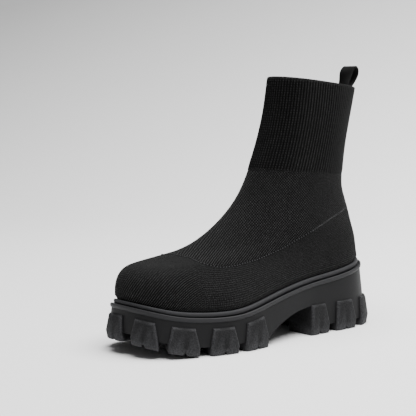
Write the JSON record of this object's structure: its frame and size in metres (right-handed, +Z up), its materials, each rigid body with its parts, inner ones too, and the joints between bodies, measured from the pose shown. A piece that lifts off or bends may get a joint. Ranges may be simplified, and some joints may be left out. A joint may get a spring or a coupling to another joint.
{
  "type": "sock boot",
  "caption": "Left ankle boot: knitted sock upper with ribbed cuff on a thick lugged rubber platform sole, with a pull loop at the back.",
  "frame": {"origin": "on the floor, under the middle of the boot's bounding box", "axes": "-Y towards the toe, +Y towards the heel, +X towards the outer side of the left foot, +Z up"},
  "size_m": [0.1114, 0.2845, 0.2484],
  "materials": {
    "rubber": "matt, fine sandblast grain on the lugs",
    "welt": "matt, smooth",
    "footbed": "matt textile",
    "knit": "flat knit, ribbed at the cuff",
    "tape": "satin woven tape"
  },
  "bodies": {
    "root": {"outsole": "rubber", "welt": "welt", "insole": "footbed", "upper": "knit", "pull_loop": "tape"}
  },
  "joints": []
}
